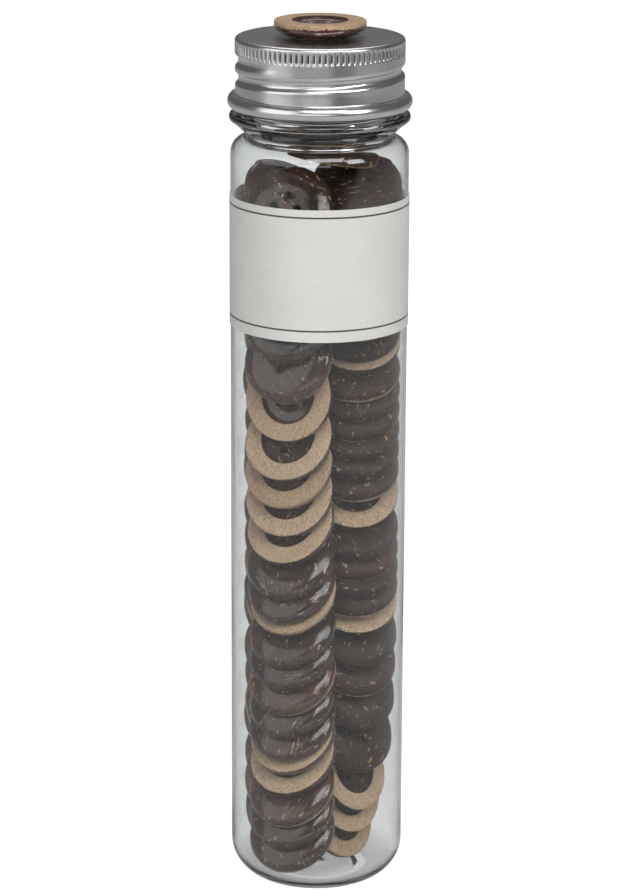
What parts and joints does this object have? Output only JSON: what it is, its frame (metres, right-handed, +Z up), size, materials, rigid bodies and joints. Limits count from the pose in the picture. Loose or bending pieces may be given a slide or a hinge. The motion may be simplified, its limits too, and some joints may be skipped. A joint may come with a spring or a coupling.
{
  "type": "tube of buttons",
  "caption": "Clear plastic tube with a rounded heel and a knurled aluminium screw cap, filled with leaning stacks of four-hole coconut buttons; one button is glued on the cap.",
  "frame": {"origin": "centre of the tube's base, on the surface it stands on", "axes": "+Z up along the tube's axis; -Y is the side the picture shows"},
  "size_m": [0.0402, 0.0402, 0.1963],
  "materials": {
    "clear_plastic": "clear polished",
    "paper": "uncoated paper",
    "coconut": "polished",
    "foam": "foam",
    "aluminium": "satin",
    "glue": "clear hot glue"
  },
  "bodies": {
    "tube": {"tube": "clear_plastic", "label": "paper", "front_run_1": "coconut", "front_run_2": "coconut", "front_run_3": "coconut", "front_run_4": "coconut", "front_run_5": "coconut", "front_run_6": "coconut", "front_run_7": "coconut", "right_run_1": "coconut", "right_run_2": "coconut", "right_run_3": "coconut", "right_run_4": "coconut", "right_run_5": "coconut", "right_run_6": "coconut", "right_run_7": "coconut", "right_run_8": "coconut", "back_run_1": "coconut", "back_run_2": "coconut", "back_run_3": "coconut", "back_run_4": "coconut", "back_run_5": "coconut", "back_run_6": "coconut", "top_button_1": "coconut", "top_button_2": "coconut"},
    "liner": {"cap_liner": "foam"},
    "cap": {"cap_shell": "aluminium", "glue_dot": "glue", "cap_button": "coconut"}
  },
  "joints": [
    {"name": "cap_lift", "type": "slide", "parent": "tube", "child": "liner", "axis": [0, 0, 1], "range_m": [0, 0.0147]},
    {"name": "cap_turn", "type": "hinge", "parent": "liner", "child": "cap", "pos_m": [0, 0, 0.19], "axis": [0, 0, 1], "range_deg": [0, 1260]}
  ],
  "couplings": [
    {"joint": "cap_lift", "follows": "cap_turn", "m_per_rad": 0.000668}
  ]
}
